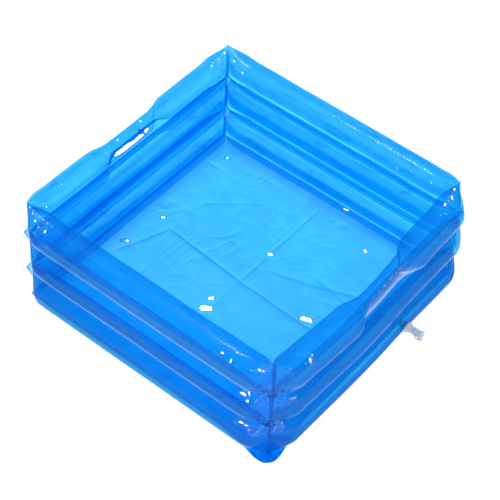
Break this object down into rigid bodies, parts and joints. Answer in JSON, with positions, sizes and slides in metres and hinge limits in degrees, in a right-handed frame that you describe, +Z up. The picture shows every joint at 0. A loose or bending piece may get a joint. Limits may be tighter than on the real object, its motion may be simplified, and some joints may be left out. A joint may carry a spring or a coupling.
{
  "type": "inflatable foot bath",
  "caption": "Square inflatable foot bath of clear blue film: stacked air tubes on a flat film floor, hand-hold slots in two walls and a strapped air valve.",
  "frame": {"origin": "centre of the floor sheet's underside, where the corner seams' square is centred", "axes": "+X out of the wall with the valve, +Z up, -Y out of the plain wall on the viewer's left"},
  "size_m": [0.3992, 0.378, 0.1548],
  "materials": {
    "blue_film": "clear glossy blue vinyl film",
    "welded_film": "two film layers fused, slightly darker",
    "clear_vinyl": "soft clear colourless vinyl moulding"
  },
  "bodies": {
    "tub": {"floor_sheet": "blue_film", "front_lower_tube": "blue_film", "front_middle_tube": "blue_film", "front_upper_tube": "blue_film", "right_lower_tube": "blue_film", "right_middle_tube": "blue_film", "right_upper_tube": "blue_film", "back_lower_tube": "blue_film", "back_middle_tube": "blue_film", "back_upper_tube": "blue_film", "left_lower_tube": "blue_film", "left_middle_tube": "blue_film", "left_upper_tube": "blue_film", "front_lower_middle_weld": "welded_film", "front_middle_upper_weld": "welded_film", "right_lower_middle_weld": "welded_film", "right_middle_upper_weld": "welded_film", "back_lower_middle_weld": "welded_film", "back_middle_upper_weld": "welded_film", "left_lower_middle_weld": "welded_film", "left_middle_upper_weld": "welded_film", "front_right_corner_sleeve": "welded_film", "back_right_corner_sleeve": "welded_film", "back_left_corner_sleeve": "welded_film", "front_left_corner_sleeve": "welded_film", "left_hand_hold_rim": "welded_film", "right_hand_hold_rim": "welded_film", "valve_body": "clear_vinyl", "valve_strap": "clear_vinyl"},
    "stopper": {"valve_stopper": "clear_vinyl"},
    "check_flap": {"valve_flap": "clear_vinyl"}
  },
  "joints": [
    {"name": "stopper_pull", "type": "slide", "parent": "tub", "child": "stopper", "axis": [1, 0, 0], "range_m": [0, 0.009]},
    {"name": "flap_swing", "type": "hinge", "parent": "tub", "child": "check_flap", "pos_m": [0.17785, 0.056, 0.0232], "axis": [0, 1, 0], "range_deg": [0, 50], "stiffness_Nm_per_rad": 0.00002}
  ]
}
